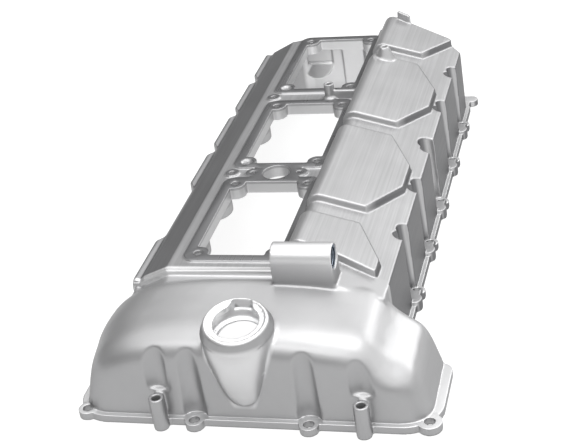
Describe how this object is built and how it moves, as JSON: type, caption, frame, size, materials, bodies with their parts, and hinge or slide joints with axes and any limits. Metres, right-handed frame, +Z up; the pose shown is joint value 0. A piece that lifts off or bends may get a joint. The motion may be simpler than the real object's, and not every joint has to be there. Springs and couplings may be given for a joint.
{
  "type": "engine valve cover",
  "caption": "Cast engine valve cover with a bulged timing end and tilted filler neck, bolted windows in a flat platform and raised pads on a sloping deck.",
  "frame": {"origin": "middle of the cover's outline, on the sealing face of the flange", "axes": "+X towards the wall under the sloping deck, +Y from the timing end to the rear, +Z up"},
  "size_m": [0.2086, 0.4257, 0.0801],
  "materials": {
    "casting": "satin casting with brushed deck and pads",
    "insert": "satin turned steel"
  },
  "bodies": {
    "root": {"cover_casting": "casting", "thread_insert": "insert"}
  },
  "joints": []
}
